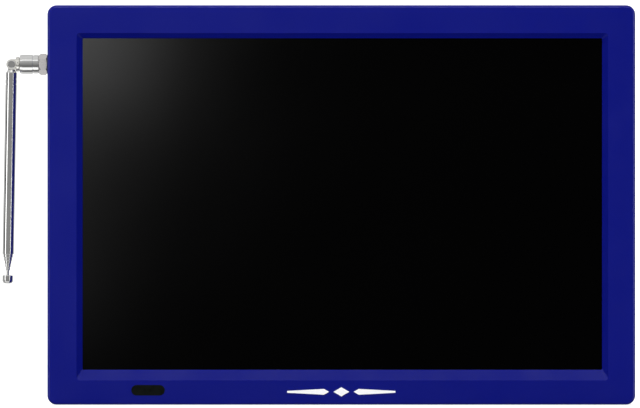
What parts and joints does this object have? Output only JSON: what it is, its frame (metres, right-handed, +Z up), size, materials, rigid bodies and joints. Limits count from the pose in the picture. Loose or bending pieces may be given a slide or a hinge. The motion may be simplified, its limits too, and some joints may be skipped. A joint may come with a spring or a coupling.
{
  "type": "portable television",
  "caption": "Flat-panel portable television with a blue two-part housing, a folding rear stand, side ports, top keys and a swivelling telescopic antenna.",
  "frame": {"origin": "middle of the front bezel's flat bottom edge, on the surface it stands on", "axes": "+X to the viewer's right along the width, -Y out of the screen towards the viewer, +Z up"},
  "size_m": [0.3721, 0.0383, 0.2345],
  "materials": {
    "blue_plastic": "satin moulded",
    "screen_glass": "anti-glare",
    "dark_lens": "polished",
    "white_mark": "satin",
    "black_rubber": "matte",
    "black_plastic": "matte",
    "white_plastic": "matte",
    "clear_plastic": "polished",
    "steel": "plated",
    "screw_steel": "black zinc",
    "chrome": "polished",
    "green_board": "solder mask",
    "paper_cone": "pressed pulp",
    "cable_jacket": "matte",
    "cell_sleeve": "shrink sleeve",
    "button_plastic": "satin"
  },
  "bodies": {
    "television": {"front_bezel": "blue_plastic", "ir_lens": "dark_lens", "front_mark": "white_mark", "rear_cover": "blue_plastic", "rubber_feet": "black_rubber", "cover_screws": "screw_steel", "screen_gasket": "black_rubber", "panel_frame": "steel", "panel_glass": "screen_glass", "panel_films": "white_plastic", "light_guide": "clear_plastic", "panel_tray": "white_plastic", "led_bar": "white_plastic", "panel_board": "green_board", "main_board": "green_board", "board_chips": "black_plastic", "tuner_can": "steel", "inner_screws": "steel", "hdmi_socket": "steel", "usb_socket": "steel", "card_socket": "steel", "vga_socket": "steel", "headphone_jack": "black_plastic", "av_jacks": "black_plastic", "dc_jack": "black_plastic", "power_switch_body": "steel", "ir_board": "green_board", "key_board": "green_board", "tact_switches": "black_plastic", "battery_cells": "cell_sleeve", "speaker_baskets": "steel", "speaker_cones": "paper_cone", "speaker_magnets": "steel", "speaker_leads": "cable_jacket", "battery_lead": "cable_jacket", "antenna_lead": "cable_jacket", "panel_ribbon": "white_plastic", "stand_hinge_pin": "steel", "antenna_socket": "steel", "socket_washer": "black_rubber"},
    "power_knob": {"power_switch_knob": "black_plastic"},
    "stand": {"stand_plate": "blue_plastic", "stand_pad": "black_rubber"},
    "antenna_nut": {"antenna_nut": "chrome"},
    "antenna_plug": {"antenna_plug": "chrome"},
    "antenna_swivel": {"antenna_swivel": "chrome", "elbow_screw": "chrome"},
    "mast_outer": {"mast_root": "chrome", "mast_tube_1": "chrome"},
    "mast_section_2": {"mast_tube_2": "chrome"},
    "mast_section_3": {"mast_tube_3": "chrome"},
    "mast_section_4": {"mast_tube_4": "chrome"},
    "mast_section_5": {"mast_tube_5": "chrome"},
    "mast_section_6": {"mast_tube_6": "chrome"},
    "mast_tip": {"mast_rod": "chrome"},
    "key_source": {"button_source": "button_plastic"},
    "key_channel_down": {"button_channel_down": "button_plastic"},
    "key_channel_up": {"button_channel_up": "button_plastic"},
    "key_volume_down": {"button_volume_down": "button_plastic"},
    "key_volume_up": {"button_volume_up": "button_plastic"}
  },
  "joints": [
    {"name": "power_switch_slide", "type": "slide", "parent": "television", "child": "power_knob", "axis": [0, 0, 1], "range_m": [0, 0.0035]},
    {"name": "stand_fold", "type": "hinge", "parent": "television", "child": "stand", "pos_m": [0, 0.0272, 0.165], "axis": [1, 0, 0], "range_deg": [0, 38]},
    {"name": "antenna_pull_off", "type": "slide", "parent": "television", "child": "antenna_plug", "axis": [-1, 0, 0], "range_m": [0, 0.00317]},
    {"name": "antenna_nut_turn", "type": "hinge", "parent": "antenna_plug", "child": "antenna_nut", "pos_m": [-0.1725, 0.018, 0.2001], "axis": [-1, 0, 0], "range_deg": [0, 1440]},
    {"name": "antenna_swivel_turn", "type": "hinge", "parent": "antenna_plug", "child": "antenna_swivel", "pos_m": [-0.1725, 0.018, 0.2001], "axis": [1, 0, 0], "continuous": true},
    {"name": "antenna_elbow", "type": "hinge", "parent": "antenna_swivel", "child": "mast_outer", "pos_m": [-0.19425, 0.018, 0.2001], "axis": [0, 1, 0], "range_deg": [0, 178]},
    {"name": "mast_section_2_slide", "type": "slide", "parent": "mast_outer", "child": "mast_section_2", "axis": [-0.0175, 0, -0.9998], "range_m": [0, 0.086]},
    {"name": "mast_section_3_slide", "type": "slide", "parent": "mast_section_2", "child": "mast_section_3", "axis": [-0.0175, 0, -0.9998], "range_m": [0, 0.086]},
    {"name": "mast_section_4_slide", "type": "slide", "parent": "mast_section_3", "child": "mast_section_4", "axis": [-0.0175, 0, -0.9998], "range_m": [0, 0.086]},
    {"name": "mast_section_5_slide", "type": "slide", "parent": "mast_section_4", "child": "mast_section_5", "axis": [-0.0175, 0, -0.9998], "range_m": [0, 0.086]},
    {"name": "mast_section_6_slide", "type": "slide", "parent": "mast_section_5", "child": "mast_section_6", "axis": [-0.0175, 0, -0.9998], "range_m": [0, 0.086]},
    {"name": "mast_tip_slide", "type": "slide", "parent": "mast_section_6", "child": "mast_tip", "axis": [-0.0175, 0, -0.9998], "range_m": [0, 0.086]},
    {"name": "key_source_press", "type": "slide", "parent": "television", "child": "key_source", "axis": [0, 0, -1], "range_m": [0, 0.0005], "stiffness_N_per_m": 800},
    {"name": "key_channel_down_press", "type": "slide", "parent": "television", "child": "key_channel_down", "axis": [0, 0, -1], "range_m": [0, 0.0005], "stiffness_N_per_m": 800},
    {"name": "key_channel_up_press", "type": "slide", "parent": "television", "child": "key_channel_up", "axis": [0, 0, -1], "range_m": [0, 0.0005], "stiffness_N_per_m": 800},
    {"name": "key_volume_down_press", "type": "slide", "parent": "television", "child": "key_volume_down", "axis": [0, 0, -1], "range_m": [0, 0.0005], "stiffness_N_per_m": 800},
    {"name": "key_volume_up_press", "type": "slide", "parent": "television", "child": "key_volume_up", "axis": [0, 0, -1], "range_m": [0, 0.0005], "stiffness_N_per_m": 800}
  ],
  "couplings": [
    {"joint": "antenna_nut_turn", "follows": "antenna_pull_off", "rad_per_m": 7915.8}
  ]
}
